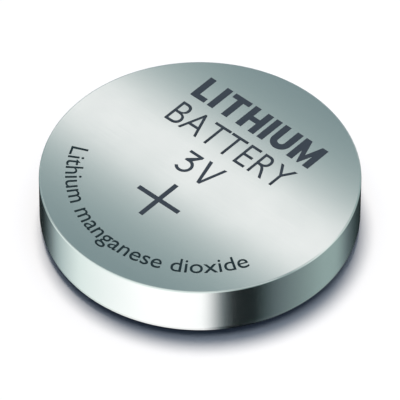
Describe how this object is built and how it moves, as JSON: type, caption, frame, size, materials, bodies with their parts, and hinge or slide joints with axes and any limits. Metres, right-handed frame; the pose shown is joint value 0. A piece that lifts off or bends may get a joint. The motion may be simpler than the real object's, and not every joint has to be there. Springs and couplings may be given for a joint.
{
  "type": "lithium coin cell",
  "caption": "Flat round lithium coin cell: a drawn steel can curled over a gasket that grips the stepped negative cap, with the electrodes sealed inside.",
  "frame": {"origin": "centre of the negative contact face, which the cell stands on", "axes": "+Z along the cell's axis, out of the positive face; +X along the baseline of the marks on that face"},
  "size_m": [0.0244, 0.0244, 0.005],
  "materials": {
    "can_steel": "nickel-plated stainless steel, satin face and drawn wall",
    "gasket_polypropylene": "moulded polypropylene, black",
    "cap_steel": "nickel-plated stainless steel, satin",
    "lithium": "rolled lithium foil, dull",
    "separator_fleece": "non-woven polypropylene",
    "cathode_mix": "pressed manganese dioxide and graphite, matt",
    "ring_steel": "stainless steel, bare"
  },
  "bodies": {
    "root": {"positive_can": "can_steel", "sealing_gasket": "gasket_polypropylene", "negative_cap": "cap_steel", "lithium_anode": "lithium", "separator": "separator_fleece", "cathode_pellet": "cathode_mix", "cathode_ring": "ring_steel"}
  },
  "joints": []
}
